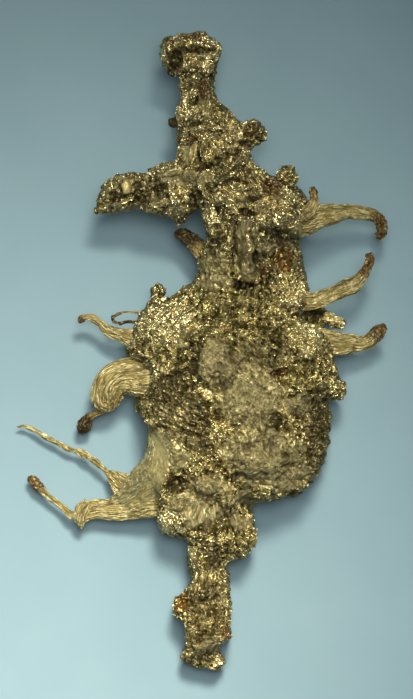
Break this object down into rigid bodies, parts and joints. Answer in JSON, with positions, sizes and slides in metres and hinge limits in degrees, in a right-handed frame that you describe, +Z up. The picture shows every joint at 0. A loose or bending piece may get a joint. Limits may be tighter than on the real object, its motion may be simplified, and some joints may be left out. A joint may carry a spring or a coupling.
{
  "type": "native silver specimen",
  "caption": "Crystalline native silver mass with a flared stem, a side arm, a rough stalk and striated wire-silver horns, lying on its flat back.",
  "frame": {"origin": "on the ground under the middle of the specimen's box, as it lies on its back", "axes": "+Y along the specimen from the foot of its stalk to the head of its stem, +X to the right seen from above, +Z up"},
  "size_m": [0.0411, 0.0696, 0.0149],
  "materials": {
    "granular_silver": "rough crystalline native silver with a grey and olive-gold tarnish",
    "striated_silver": "satin wire silver with fine lengthwise striations and a pale gold tarnish",
    "tarnished_silver": "satin wire silver with a dark brown tarnish"
  },
  "bodies": {
    "root": {"main_mass": "granular_silver", "upper_stem": "granular_silver", "lower_stalk": "granular_silver", "side_arm": "granular_silver", "spur_right": "granular_silver", "horn_right_upper": "striated_silver", "horn_right_middle": "striated_silver", "horn_right_lower": "striated_silver", "ram_horn": "striated_silver", "ram_horn_tail": "striated_silver", "horn_left_lower": "striated_silver", "horn_left_tail": "striated_silver", "wire_left_long": "striated_silver", "wire_left_upper": "striated_silver", "wire_loop": "striated_silver", "shoulder_wire": "striated_silver", "neck_spur": "tarnished_silver", "stem_spur": "tarnished_silver"}
  },
  "joints": []
}
